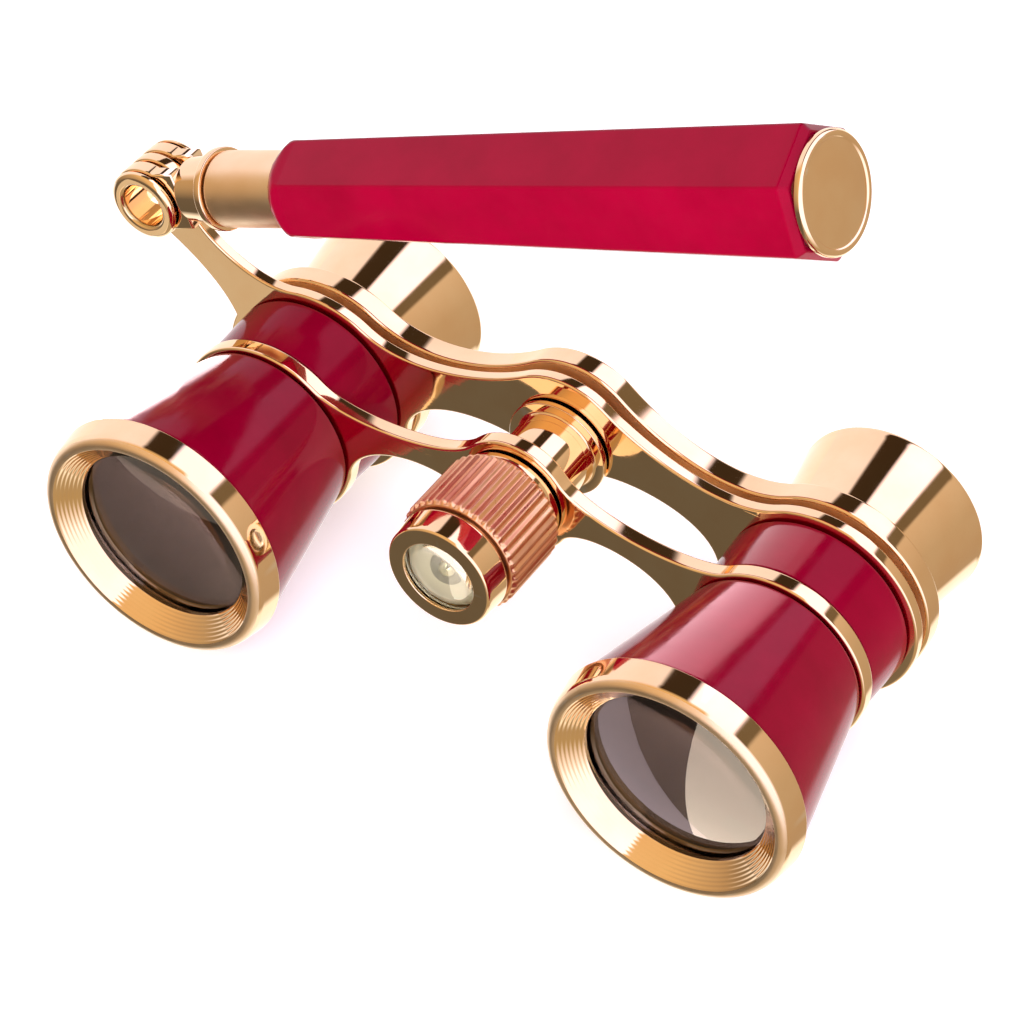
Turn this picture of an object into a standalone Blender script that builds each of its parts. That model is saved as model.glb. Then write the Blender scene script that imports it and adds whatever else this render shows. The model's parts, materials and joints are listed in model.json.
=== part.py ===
"""Opera glasses: two Galilean barrels on wavy bridges, a centre focus knob with a reading light,
and a folding, telescoping handle. Dimensions are in millimetres and are turned into metres when
a mesh is made. X runs across, +Y from the objectives to the eyepieces, +Z is up."""

from math import cos, pi, radians, sin, sqrt, tau

import bmesh
import bpy
from mathutils import Vector

MM = 0.001
GAP = 0.3  # clearance between pieces that touch
BARREL_SEGMENTS = 40
SMALL_SEGMENTS = 24
SMOOTH_ANGLE = radians(35)

# Barrels
BARREL_X = 33.0  # half the distance between the two optical axes
BEZEL_BAND_R = 15.15
BEZEL_BAND_Y = 3.5
BEZEL_LIP_R = 14.1
BEZEL_APERTURE_R = 10.95
DISH_FLOOR_Y = 2.3
BEZEL_SEAT_Y = 2.85
SLEEVE_R = 13.15
SLEEVE_BORE_R = 12.65
SLEEVE_END_Y = 6.2
LENS_R = 12.3
LENS_FRONT_Y = 1.6
LENS_CURVE_R = 41.0
LENS_BACK_Y = 5.5
CONE_FRONT_Y = BEZEL_BAND_Y + GAP
CONE_FRONT_R = 14.75
CONE_REAR_R = 10.9
TUBE_BORE_R = 9.2
TUBE_SPIGOT_R = 9.7
TUBE_SPIGOT_Y = 21.5
TUBE_FRONT_R = 11.0
TUBE_REAR_R = 11.35

# Bridges: y of the front and rear face of each plate
FRONT_PLATE = (22.9, 24.9)
REAR_PLATE = (32.9, 34.4)
EYE_PLATE = (35.6, 38.4)
FRONT_RING_R = 11.35
REAR_RING_R = 12.4
EYE_RING_R = 12.4
RING_BORE_R = 9.2
FRONT_RING_BORE_R = 10.05

# Draw tubes and eyepieces
DRAW_TUBE_R = 8.9
DRAW_TUBE_BORE_R = 8.3
DRAW_TUBE_FRONT_Y = 24.0
DRAW_TUBE_REAR_Y = 40.9
EYE_FRONT_Y = EYE_PLATE[1] + GAP
EYE_REAR_Y = 50.5
EYE_RIM_R = 11.5
EYE_WAIST_R = 9.6
OCULAR_R = 8.5
OCULAR_FRONT_Y = 43.1
OCULAR_BACK_Y = 45.5

# Focus knob, screw and light, turned about a line at this height above the optical axes
FOCUS_Z = 6.95
KNOB_R = 7.3
KNURL_DEPTH = 0.35
KNURL_RIBS = 40
KNOB_FRONT_Y = 11.75
KNOB_REAR_Y = 21.15
KNOB_CAVITY_R = 4.3
FOCUS_TUBE_R = 4.9
FOCUS_FLANGE_R = 6.2
FOCUS_FLANGE_Y = 31.9
FOCUS_TUBE_BORE_R = 3.55
SCREW_THREAD_R = 1.6
CELL_R = 3.95
CELL_THICKNESS = 2.4

# Handle, in a frame whose +X runs along the handle from the hinge
HINGE = Vector((-54.6, 33.65, 18.6))
HANDLE_TILT = radians(23.8)
CHEEK_R = 4.45
FORK_HALF_WIDTH = 3.0
FORK_SLOT_HALF = 1.15
FORK_SLOT_END = 5.5
NECK_END = 9.0
EYE_LUG_R = 4.45
RIVET_BORE_R = 2.7
RIVET_R = 3.05
RIVET_HEAD_R = 4.35
RIVET_HOLE_R = 3.35
COLLAR = (9.3, 10.3)
HANDLE_TUBE_R = 4.38
HANDLE_TUBE_END = 84.0
GRIP_START = 20.9
GRIP_SHOULDER = 23.0  # where the rounded narrow end meets the flats
GRIP_END = 91.7
GRIP_NARROW_R = 6.1  # over the six corners
GRIP_WIDE_R = 7.75
GRIP_BORE_R = 4.75
GRIP_CORNER = radians(35)  # one corner's direction about the handle, from -Y towards its upper side
CAP_R = 6.45

# The datum puts the world origin at the middle of the whole object's footprint, under its lowest point
LEFT_X = HINGE.x - CHEEK_R
RIGHT_X = BARREL_X + BEZEL_BAND_R
DATUM = Vector((-(LEFT_X + RIGHT_X) / 2, -EYE_REAR_Y / 2, BEZEL_BAND_R))

for leftover in list(bpy.data.objects):
    bpy.data.objects.remove(leftover, do_unlink=True)


def material(name, colour, roughness, metallic, alpha=1.0):
    made = bpy.data.materials.new(name)
    made.use_nodes = True
    shader = made.node_tree.nodes["Principled BSDF"]
    shader.inputs["Base Color"].default_value = (*colour, 1.0)
    shader.inputs["Roughness"].default_value = roughness
    shader.inputs["Metallic"].default_value = metallic
    shader.inputs["Alpha"].default_value = alpha
    return made


GOLD = ((0.83, 0.56, 0.24), 0.12, 1.0)
BRASS = ((0.62, 0.45, 0.2), 0.35, 1.0)
ENAMEL = ((0.27, 0.0, 0.014), 0.1, 0.0)
BLACK = ((0.012, 0.012, 0.013), 0.5, 0.3)
STEEL = ((0.55, 0.55, 0.56), 0.25, 1.0)
GLASS = ((0.5, 0.42, 0.5), 0.03, 0.0, 0.35)
CLEAR = ((0.9, 0.88, 0.72), 0.05, 0.0, 0.5)
PLASTIC = ((0.8, 0.8, 0.76), 0.4, 0.0)


def empty(name, location, parent=None):
    made = bpy.data.objects.new(name, None)
    made.location = Vector(location) * MM
    made.parent = parent
    bpy.context.collection.objects.link(made)
    return made


def add_object(name, bm, parent, place, finish):
    """One named object from a bmesh in millimetres, its origin at place in its parent's frame."""
    bmesh.ops.scale(bm, vec=(MM, MM, MM), verts=bm.verts)
    bmesh.ops.recalc_face_normals(bm, faces=bm.faces)
    mesh = bpy.data.meshes.new(name)
    bm.to_mesh(mesh)
    bm.free()
    mesh.shade_smooth()
    mesh.set_sharp_from_angle(angle=SMOOTH_ANGLE)
    made = bpy.data.objects.new(name, mesh)
    made.location = Vector(place) * MM
    made.parent = parent
    if finish:
        mesh.materials.append(material(name, *finish))
    bpy.context.collection.objects.link(made)
    return made


def turned(name, profile, parent, place, finish, segments=SMALL_SEGMENTS, along="Y"):
    """A profile of (distance along the axis, radius) points, spun about the axis.

    A profile with a point on the axis at each end makes a solid; any other one is a closed ring.
    """
    bm = bmesh.new()
    if along == "Y":
        axis = Vector((0, 1, 0))
        points = [Vector((radius, distance, 0)) for distance, radius in profile]
    else:
        axis = Vector((1, 0, 0))
        points = [Vector((distance, 0, radius)) for distance, radius in profile]
    verts = [bm.verts.new(point) for point in points]
    edges = [bm.edges.new(pair) for pair in zip(verts, verts[1:])]
    if profile[0][1] > 0:
        edges.append(bm.edges.new((verts[-1], verts[0])))
    bmesh.ops.spin(bm, geom=verts + edges, cent=(0, 0, 0), axis=axis, angle=tau, steps=segments,
                   use_merge=True, use_duplicate=False)
    bmesh.ops.remove_doubles(bm, verts=bm.verts, dist=0.001)
    return add_object(name, bm, parent, place, finish)


def arc(centre, radius, start, end, steps):
    """Points on a circle in the XZ plane, from one angle in degrees to another."""
    angles = [radians(start + (end - start) * i / steps) for i in range(steps + 1)]
    return [(centre[0] + radius * cos(a), centre[1] + radius * sin(a)) for a in angles]


def clockwise(angle):
    """Unit direction of clockwise travel at an angle in degrees on a circle."""
    return (sin(radians(angle)), -cos(radians(angle)))


def sweep(start, leave, end, arrive, steps=8):
    """Inner points of a cubic curve; leave and arrive are (direction, reach)."""
    first = [start[k] + leave[0][k] * leave[1] for k in range(2)]
    last = [end[k] - arrive[0][k] * arrive[1] for k in range(2)]
    points = []
    for i in range(1, steps):
        t = i / steps
        u = 1 - t
        points.append(tuple(
            u**3 * start[k] + 3 * u * u * t * first[k] + 3 * u * t * t * last[k] + t**3 * end[k]
            for k in range(2)
        ))
    return points


def mirrored(points):
    return [(-x, z) for x, z in reversed(points)]


def bridge_outline(ring_r, ring_top, top, bottom, arm=None):
    """Clockwise outline of a bridge plate: a centre lobe, a waist each side, and two rings.

    top and bottom hold the lobe's radius, the angle where the lobe ends, and the two reaches of
    the waist curve. ring_top is the angle where the waist meets the ring. arm, if given, is the
    stretch that replaces the left ring's upper outer side: its first angle, points, last angle.
    """
    centre = (BARREL_X, 0)
    focus = (0, FOCUS_Z)
    ring_bottom = -173
    crown = arc(focus, top[0], 90, top[1], 6)
    ring = arc(centre, ring_r, ring_top, ring_bottom, 40)
    keel = arc(focus, bottom[0], bottom[1], -90, 5)
    upper = sweep(crown[-1], (clockwise(top[1]), top[2]), ring[0], (clockwise(ring_top), top[3]))
    lower = sweep(ring[-1], (clockwise(ring_bottom), bottom[2]), keel[0], (bottom[4], bottom[3]))
    right = crown + upper + ring + lower + keel
    if arm is None:
        left_ring = mirrored(ring)
    else:
        first, points, last = arm
        left = (-BARREL_X, 0)
        left_ring = (
            arc(left, ring_r, 180 - ring_bottom - 360, first - 360, 22)
            + points
            + arc(left, ring_r, last, 180 - ring_top, 8)
        )
    left_half = mirrored(keel)[1:] + mirrored(lower) + left_ring + mirrored(upper) + mirrored(crown)[:-1]
    return right + left_half


def plate(name, outline, faces_y, parent, finish):
    """A flat plate: an outline of (x, z) points, thick from one y to another."""
    bm = bmesh.new()
    face = bm.faces.new([bm.verts.new((x, faces_y[0], z)) for x, z in outline])
    grown = bmesh.ops.extrude_face_region(bm, geom=[face])["geom"]
    moved = [item for item in grown if isinstance(item, bmesh.types.BMVert)]
    bmesh.ops.translate(bm, vec=(0, faces_y[1] - faces_y[0], 0), verts=moved)
    return add_object(name, bm, parent, (0, 0, 0), finish)


def combine(target, tool, operation):
    """Cut a hidden tool object out of a target, or join it on."""
    tool.hide_render = True
    tool.display_type = "WIRE"
    boolean = target.modifiers.new(tool.name, "BOOLEAN")
    boolean.operation = operation
    boolean.solver = "EXACT"
    boolean.object = tool


def bore(target, place, radius, faces_y, segments=SMALL_SEGMENTS):
    """A round hole along Y through a plate."""
    over = 1.0
    profile = [
        (faces_y[0] - over, 0), (faces_y[0] - over, radius),
        (faces_y[1] + over, radius), (faces_y[1] + over, 0),
    ]
    name = f"{target.name}_bore_{len(target.modifiers)}"
    combine(target, turned(name, profile, target.parent, place, None, segments), "DIFFERENCE")


datum = empty("datum", DATUM)
carriage = empty("carriage_datum", (0, 0, FOCUS_Z), datum)
knob_axis = empty("knob_axis", (0, 0, FOCUS_Z), datum)
handle_axis = empty("handle_axis", HINGE, datum)
handle_axis.rotation_euler = (0, -HANDLE_TILT, 0)
ON_KNOB_AXIS = (0, 0, 0)


def sphere_sag(radius, curve_r):
    """Depth of a spherical face at a radius from its middle."""
    return curve_r - sqrt(curve_r**2 - radius**2)


def make_barrel(side, x):
    """The fixed half of one barrel: bezel, lens, retainer, cone and middle tube."""
    here = (x, 0, 0)
    bezel = [
        (0, 13.3), (0, BEZEL_LIP_R), (0.35, 14.5), (1.1, 14.75), (BEZEL_BAND_Y, BEZEL_BAND_R),
        (BEZEL_BAND_Y, SLEEVE_R), (SLEEVE_END_Y, SLEEVE_R), (SLEEVE_END_Y, SLEEVE_BORE_R),
        (BEZEL_SEAT_Y, SLEEVE_BORE_R), (BEZEL_SEAT_Y, BEZEL_APERTURE_R),
        (DISH_FLOOR_Y, BEZEL_APERTURE_R),
    ]
    turned(f"objective_bezel_{side}", bezel, datum, here, GOLD, BARREL_SEGMENTS)
    dome_steps = 5
    dome = [
        (LENS_FRONT_Y + sphere_sag(LENS_R * i / dome_steps, LENS_CURVE_R), LENS_R * i / dome_steps)
        for i in range(dome_steps + 1)
    ]
    lens = dome + [(LENS_BACK_Y, LENS_R), (LENS_BACK_Y, 0)]
    turned(f"objective_lens_{side}", lens, datum, here, GLASS, SMALL_SEGMENTS)
    retainer = [(5.8, 11.2), (5.8, 12.3), (7.0, 12.3), (7.0, 11.2)]
    turned(f"objective_retainer_{side}", retainer, datum, here, BLACK)
    cone_end = FRONT_PLATE[0] - GAP
    cone = [
        (CONE_FRONT_Y, 13.45), (CONE_FRONT_Y, CONE_FRONT_R), (cone_end, CONE_REAR_R),
        (cone_end, 10.0), (7.1, 12.75), (6.6, 13.45),
    ]
    turned(f"objective_cone_{side}", cone, datum, here, ENAMEL, BARREL_SEGMENTS)
    shoulder = FRONT_PLATE[1] + GAP
    tube_end = REAR_PLATE[0] - GAP
    tube = [
        (TUBE_SPIGOT_Y, TUBE_BORE_R), (TUBE_SPIGOT_Y, TUBE_SPIGOT_R), (shoulder, TUBE_SPIGOT_R),
        (shoulder, TUBE_FRONT_R), (tube_end, TUBE_REAR_R), (tube_end, TUBE_BORE_R),
    ]
    turned(f"middle_tube_{side}", tube, datum, here, ENAMEL, BARREL_SEGMENTS)


def make_eyepiece(side, x):
    """The moving half of one barrel: draw tube, eyepiece, concave lens and its retainer."""
    here = (x, 0, -FOCUS_Z)
    draw_tube = [
        (DRAW_TUBE_FRONT_Y, DRAW_TUBE_BORE_R), (DRAW_TUBE_FRONT_Y, DRAW_TUBE_R),
        (DRAW_TUBE_REAR_Y, DRAW_TUBE_R), (DRAW_TUBE_REAR_Y, DRAW_TUBE_BORE_R),
    ]
    turned(f"draw_tube_{side}", draw_tube, carriage, here, BRASS)
    eyepiece = [
        (EYE_FRONT_Y, RING_BORE_R), (EYE_FRONT_Y, EYE_WAIST_R), (49.4, 11.35), (50.1, EYE_RIM_R),
        (EYE_REAR_Y, 11.3), (EYE_REAR_Y, 10.6), (47.6, 7.5), (46.0, 7.3), (45.85, 7.3),
        (45.85, 8.85), (41.3, 8.85), (41.2, RING_BORE_R),
    ]
    turned(f"eyepiece_{side}", eyepiece, carriage, here, GOLD, BARREL_SEGMENTS)
    front_sag = [(43.9, 0), (43.75, 3.4), (43.35, 6.6), (OCULAR_FRONT_Y, 7.6), (OCULAR_FRONT_Y, OCULAR_R)]
    back_sag = [(OCULAR_BACK_Y, OCULAR_R), (OCULAR_BACK_Y, 7.2), (45.15, 4.5), (44.95, 2.2), (44.9, 0)]
    turned(f"ocular_lens_{side}", front_sag + back_sag, carriage, here, GLASS)
    retainer = [(41.6, 7.5), (41.6, 8.5), (42.7, 8.5), (42.7, 7.5)]
    turned(f"ocular_retainer_{side}", retainer, carriage, here, BLACK)


def make_front_bridge():
    outline = bridge_outline(
        FRONT_RING_R, 125, (7.35, 40, 5.5, 4.5), (7.35, -27, 7.0, 4.0, (-0.6, -0.8)))
    made = plate("front_bridge", outline, FRONT_PLATE, datum, GOLD)
    for x in (-BARREL_X, BARREL_X):
        bore(made, (x, 0, 0), FRONT_RING_BORE_R, FRONT_PLATE, BARREL_SEGMENTS)
    bore(made, (0, 0, FOCUS_Z), FOCUS_TUBE_BORE_R, FRONT_PLATE)


def make_rear_bridge():
    hinge = (HINGE.x, HINGE.z)
    ring_leave = 157
    ring_return = 106
    leave = arc((-BARREL_X, 0), REAR_RING_R, ring_leave, ring_leave, 1)[0]
    land = arc((-BARREL_X, 0), REAR_RING_R, ring_return, ring_return, 1)[0]
    lug = arc(hinge, EYE_LUG_R, 245, 0, 16)
    lower = sweep(leave, ((-0.45, 0.89), 5.0), lug[0], (clockwise(245), 5.0))
    upper = sweep(lug[-1], (clockwise(0), 3.0), land, (clockwise(ring_return), 6.0))
    outline = bridge_outline(
        REAR_RING_R, 120, (9.2, 55, 7.5, 6.5), (4.8, -40, 7.5, 3.5, (-0.75, -0.66)),
        (ring_leave, lower + lug + upper, ring_return))
    made = plate("rear_bridge", outline, REAR_PLATE, datum, GOLD)
    for x in (-BARREL_X, BARREL_X):
        bore(made, (x, 0, 0), RING_BORE_R, REAR_PLATE, SMALL_SEGMENTS)
    bore(made, (0, 0, FOCUS_Z), FOCUS_TUBE_BORE_R, REAR_PLATE)
    bore(made, (HINGE.x, 0, HINGE.z), RIVET_HOLE_R, REAR_PLATE, 24)


def make_eyepiece_bridge():
    outline = bridge_outline(
        EYE_RING_R, 120, (9.5, 52, 8.5, 6.5), (4.8, -40, 7.5, 3.5, (-0.75, -0.66)))
    lowered = [(x, z - FOCUS_Z) for x, z in outline]
    made = plate("eyepiece_bridge", lowered, EYE_PLATE, carriage, GOLD)
    for x in (-BARREL_X, BARREL_X):
        bore(made, (x, 0, -FOCUS_Z), RING_BORE_R, EYE_PLATE, SMALL_SEGMENTS)
    bore(made, (0, 0, 0), FOCUS_TUBE_BORE_R, EYE_PLATE)
    nut_r = 3.1
    nut_bore = SCREW_THREAD_R + GAP
    nut = [
        (27.0, nut_bore), (27.0, nut_r), (34.75, nut_r), (34.75, 4.5), (35.3, 4.5), (35.3, nut_r),
        (39.5, nut_r), (39.5, nut_bore),
    ]
    turned("focus_nut", nut, carriage, (0, 0, 0), BRASS, 24)
    cap = [
        (39.9, 0), (39.9, 3.5), (EYE_FRONT_Y, 3.5), (EYE_FRONT_Y, 4.8), (39.7, 4.8), (40.8, 3.7),
        (41.3, 1.9), (41.4, 0),
    ]
    turned("bridge_cap", cap, carriage, (0, 0, 0), GOLD)


def make_focus_drive():
    """Bush and tube on the frame; knurled knob and screw, which turn together."""
    bush = [
        (21.5, 2.25), (21.5, 6.2), (22.6, 6.2), (22.6, 3.2), (25.9, 3.2), (25.9, 2.25),
    ]
    turned("focus_bush", bush, datum, (0, 0, FOCUS_Z), BRASS)
    tube_front = FRONT_PLATE[1] + GAP
    tube_rear = REAR_PLATE[0] - GAP
    tube = [
        (tube_front, FOCUS_TUBE_BORE_R), (tube_front, FOCUS_TUBE_R), (FOCUS_FLANGE_Y, FOCUS_TUBE_R),
        (FOCUS_FLANGE_Y, FOCUS_FLANGE_R), (tube_rear, FOCUS_FLANGE_R),
        (tube_rear, FOCUS_TUBE_BORE_R),
    ]
    turned("focus_tube", tube, datum, (0, 0, FOCUS_Z), GOLD)
    screw = [
        (18.9, 0), (18.9, 3.3), (19.6, 3.3), (19.6, 1.9), (25.6, 1.9), (25.6, SCREW_THREAD_R),
        (36.6, SCREW_THREAD_R), (37.0, 1.2), (37.0, 0),
    ]
    turned("focus_screw", screw, knob_axis, ON_KNOB_AXIS, STEEL, 20)
    knob = [
        (KNOB_FRONT_Y, 5.95), (KNOB_FRONT_Y, 6.85), (12.15, KNOB_R), (20.75, KNOB_R),
        (KNOB_REAR_Y, 6.85), (KNOB_REAR_Y, 2.25), (19.9, 2.25), (19.9, KNOB_CAVITY_R),
        (12.7, KNOB_CAVITY_R), (12.7, 5.95),
    ]
    made = turned("focus_knob", knob, knob_axis, ON_KNOB_AXIS, GOLD, 2 * KNURL_RIBS)
    rib_r = KNOB_R * MM
    for vert in made.data.vertices:
        across = Vector((vert.co.x, 0, vert.co.z))
        turn = across.angle(Vector((1, 0, 0)), 0) * KNURL_RIBS / pi
        if abs(across.length - rib_r) < 0.01 * MM and round(turn) % 2:
            vert.co -= across.normalized() * KNURL_DEPTH * MM


def make_light():
    """Reading light: cells and contact in the knob; bezel, lens, diode and holder in its head."""
    for index, name in enumerate(("battery_cell_front", "battery_cell_rear")):
        front = 13.0 + index * (CELL_THICKNESS + GAP)
        back = front + CELL_THICKNESS
        cell = [(front, 0), (front, 3.4), (front + 0.2, CELL_R), (back, CELL_R), (back, 0)]
        turned(name, cell, knob_axis, ON_KNOB_AXIS, STEEL, 20)
    contact = [(18.3, 2.6), (18.3, 3.4), (18.5, 3.4), (18.7, 1.6), (18.5, 1.6)]
    turned("contact_spring", contact, knob_axis, ON_KNOB_AXIS, STEEL, 20)
    bezel = [
        (7.85, 4.45), (7.85, 6.3), (8.1, 6.5), (8.6, 6.55), (11.1, 6.75), (11.4, 6.55),
        (11.4, 5.65), (12.4, 5.65), (12.4, 5.1), (8.4, 5.1), (8.4, 4.45),
    ]
    turned("light_bezel", bezel, knob_axis, ON_KNOB_AXIS, GOLD, BARREL_SEGMENTS)
    lens = [
        (7.6, 0), (7.7, 1.5), (8.0, 2.8), (8.45, 3.8), (8.7, 4.15), (8.7, 4.8), (9.5, 4.8), (9.5, 0),
    ]
    turned("light_lens", lens, knob_axis, ON_KNOB_AXIS, CLEAR)
    holder = [(10.0, 1.8), (10.0, 4.8), (11.6, 4.8), (11.6, 1.8)]
    turned("led_holder", holder, knob_axis, ON_KNOB_AXIS, PLASTIC, 24)
    diode = [(9.8, 0), (9.95, 0.9), (10.6, 1.5), (12.5, 1.5), (12.5, 0)]
    turned("led", diode, knob_axis, ON_KNOB_AXIS, CLEAR, 16)


def make_hinge():
    """The clevis on the handle and the hollow rivet that holds it to the arm's lug."""
    neck = [(4.2, 0), (4.2, 2.9), (5.1, 2.9), (5.4, 3.7), (NECK_END, 4.0), (NECK_END, 0)]
    cheek = [(-FORK_HALF_WIDTH, 0), (-FORK_HALF_WIDTH, 4.2), (-2.75, CHEEK_R), (2.75, CHEEK_R),
             (FORK_HALF_WIDTH, 4.2), (FORK_HALF_WIDTH, 0)]
    fork = turned("handle_fork", cheek, handle_axis, (0, 0, 0), GOLD, 32)
    stem = turned("fork_stem", neck, handle_axis, (0, 0, 0), None, along="X")
    combine(fork, stem, "UNION")
    slot = plate("fork_slot", [(-9, -9), (FORK_SLOT_END, -9), (FORK_SLOT_END, 9), (-9, 9)],
                 (-FORK_SLOT_HALF, FORK_SLOT_HALF), handle_axis, None)
    combine(fork, slot, "DIFFERENCE")
    bore(fork, (0, 0, 0), RIVET_HOLE_R, (-FORK_HALF_WIDTH, FORK_HALF_WIDTH), 20)
    seat = FORK_HALF_WIDTH + GAP
    head = [
        (seat, RIVET_R), (seat, RIVET_HEAD_R), (seat + 0.3, RIVET_HEAD_R), (seat + 0.65, 4.05),
        (seat + 0.8, 3.4), (seat + 0.65, 2.85), (seat + 0.3, RIVET_BORE_R),
    ]
    rivet = head + [(-along, radius) for along, radius in reversed(head)]
    turned("hinge_rivet", rivet, datum, HINGE, GOLD)


def make_handle():
    """Collar, telescoping tube and its stop on the hinge; six-sided grip and end cap."""
    on_axis = (0, 0, 0)
    near, far = COLLAR
    collar = [(near, 0), (near, 4.8), (far, 4.8), (far, 3.3), (14.0, 3.3), (14.0, 0)]
    turned("handle_collar", collar, handle_axis, on_axis, GOLD, along="X")
    tube_start = COLLAR[1] + GAP
    tube = [
        (tube_start, 3.6), (tube_start, HANDLE_TUBE_R), (HANDLE_TUBE_END, HANDLE_TUBE_R),
        (HANDLE_TUBE_END, 3.6),
    ]
    turned("handle_tube", tube, handle_axis, on_axis, GOLD, along="X")
    stop_front = HANDLE_TUBE_END + GAP
    stop = [
        (80.0, 0), (80.0, 3.3), (stop_front, 3.3), (stop_front, 4.6), (85.6, 4.6), (85.6, 0),
    ]
    turned("tube_stop", stop, handle_axis, on_axis, BRASS, 24, along="X")
    make_grip()
    seat = GRIP_END + GAP
    cap = [
        (88.0, 0), (88.0, 4.4), (seat, 4.4), (seat, CAP_R), (seat + 0.6, CAP_R),
        (seat + 0.95, 6.15), (seat + 0.95, 5.7), (seat + 0.7, 5.5), (seat + 1.0, 3.0), (seat + 1.1, 0),
    ]
    turned("handle_end_cap", cap, handle_axis, on_axis, GOLD, BARREL_SEGMENTS, along="X")


def make_grip():
    """A six-sided tapered grip, turned round at its narrow end, chamfered at its wide one, and bored through."""
    sections = [
        (GRIP_START, 5.1, 1.0), (GRIP_START + 0.9, 5.75, 0.55), (GRIP_SHOULDER, GRIP_NARROW_R, 0.0),
        (90.8, GRIP_WIDE_R, 0.0), (GRIP_END, 6.9, 0.0),
    ]
    corners = 6
    per_side = 4
    around = corners * per_side
    bm = bmesh.new()
    loops = []
    for along, radius, roundness in sections:
        loop = []
        for k in range(around):
            angle = GRIP_CORNER + tau * k / around
            off_middle = tau * ((k % per_side) / around) - pi / corners
            flat_r = radius * cos(pi / corners) / cos(off_middle)
            reach = flat_r + (radius - flat_r) * roundness
            loop.append(bm.verts.new((along, -reach * cos(angle), reach * sin(angle))))
        loops.append(loop)
    for near, far in zip(loops, loops[1:]):
        for i in range(around):
            j = (i + 1) % around
            bm.faces.new((near[i], near[j], far[j], far[i]))
    bm.faces.new(loops[0])
    bm.faces.new(loops[-1])
    grip = add_object("handle_grip", bm, handle_axis, (0, 0, 0), ENAMEL)
    over = 2.0
    core = [
        (GRIP_START - over, 0), (GRIP_START - over, GRIP_BORE_R), (GRIP_END + over, GRIP_BORE_R),
        (GRIP_END + over, 0),
    ]
    hole = turned("grip_core", core, handle_axis, (0, 0, 0), None, 24, along="X")
    combine(grip, hole, "DIFFERENCE")


for side, x in (("left", -BARREL_X), ("right", BARREL_X)):
    make_barrel(side, x)
    make_eyepiece(side, x)
make_front_bridge()
make_rear_bridge()
make_eyepiece_bridge()
make_focus_drive()
make_light()
make_hinge()
make_handle()
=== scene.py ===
"""Looks of the opera glasses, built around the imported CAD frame: polished gold fittings, crimson
enamel on the barrels and the grip, and coated lenses, in a striped light tent. Pieces are drawn
in millimetres in the part's own axes (X across, +Y from the objectives to the eyepieces, +Z up)
and then set on the axes that the frame gives."""

import json
from collections import namedtuple
from math import cos, pi, radians, sin, sqrt, tau

import bmesh
import bpy
from mathutils import Matrix, Vector


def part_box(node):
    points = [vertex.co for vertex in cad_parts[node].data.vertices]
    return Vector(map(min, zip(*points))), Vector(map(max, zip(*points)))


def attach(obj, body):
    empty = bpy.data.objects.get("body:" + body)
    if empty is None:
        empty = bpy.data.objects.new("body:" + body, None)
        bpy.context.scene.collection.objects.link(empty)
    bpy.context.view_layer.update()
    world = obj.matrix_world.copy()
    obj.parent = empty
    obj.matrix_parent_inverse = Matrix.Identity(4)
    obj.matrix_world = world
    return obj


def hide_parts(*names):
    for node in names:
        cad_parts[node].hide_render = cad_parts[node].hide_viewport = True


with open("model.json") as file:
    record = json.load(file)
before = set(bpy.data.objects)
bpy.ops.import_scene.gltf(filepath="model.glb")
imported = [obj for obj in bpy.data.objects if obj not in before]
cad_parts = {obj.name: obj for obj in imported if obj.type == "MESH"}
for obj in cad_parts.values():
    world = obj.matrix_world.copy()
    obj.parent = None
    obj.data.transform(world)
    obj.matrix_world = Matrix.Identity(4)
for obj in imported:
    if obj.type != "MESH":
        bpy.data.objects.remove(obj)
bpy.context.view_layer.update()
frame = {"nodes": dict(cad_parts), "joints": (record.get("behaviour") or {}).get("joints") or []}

MM = 0.001
PIECES = {}  # the visible pieces by name
scene = bpy.context.scene

# Segments round the turned pieces
ROUND_SEGMENTS = 128
MIDDLE_SEGMENTS = 96
SMALL_SEGMENTS = 72
KNURL_SEGMENTS = 400

# Softened edges, in millimetres
EDGE_ROUNDING = 0.14  # on the corners of turned pieces
FINE_ROUNDING = 0.1
GLASS_ROUNDING = 0.05
PLATE_EDGE = 0.34  # on the rims of the front bridge
THIN_PLATE_EDGE = 0.3
THICK_PLATE_EDGE = 0.4
SHARP_BEND = radians(14)  # the least turn in a profile that is rounded
WELD = 0.0001  # points closer than this are one

# Driving dimensions, in millimetres; distances along Y start at the objectives' front plane
GAP = 0.3  # between neighbouring pieces
APERTURE_R = 10.95
BEZEL_SLEEVE_Y = 3.5
CONE_BORE = (7.1, 12.75)  # where the bore starts behind the bezel's sleeve, and its radius there
CONE_BORE_TAPER = 0.17
FRONT_BRIDGE_Y = (22.9, 24.9)
REAR_BRIDGE_Y = (32.9, 34.4)
EYE_BRIDGE_Y = (35.6, 38.4)
CONE_REAR_Y = FRONT_BRIDGE_Y[0] - GAP
TUBES_Y = (FRONT_BRIDGE_Y[1] + GAP, REAR_BRIDGE_Y[0] - GAP)
EYEPIECE_Y = EYE_BRIDGE_Y[1] + GAP
FRONT_RING_R = 11.35
REAR_RING_R = 12.4
BARREL_BORE_R = 9.2
SPIGOT_R = 9.7
SPIGOT_HOLE_R = 10.05
FOCUS_BORE_R = 3.55
KNOB_R = 7.3
HINGE_EYE_R = 4.45
RIVET_HOLE_R = 3.35
HANDLE_TUBE_R = 4.38
GRIP_BORE_R = 4.75
GRIP_CORNER = radians(35)  # one corner of the grip, from -Y towards its upper side


def axis_of(node):
    """Middle of a CAD node's box, in metres."""
    low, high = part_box(node)
    return (Vector(low) + Vector(high)) / 2


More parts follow.
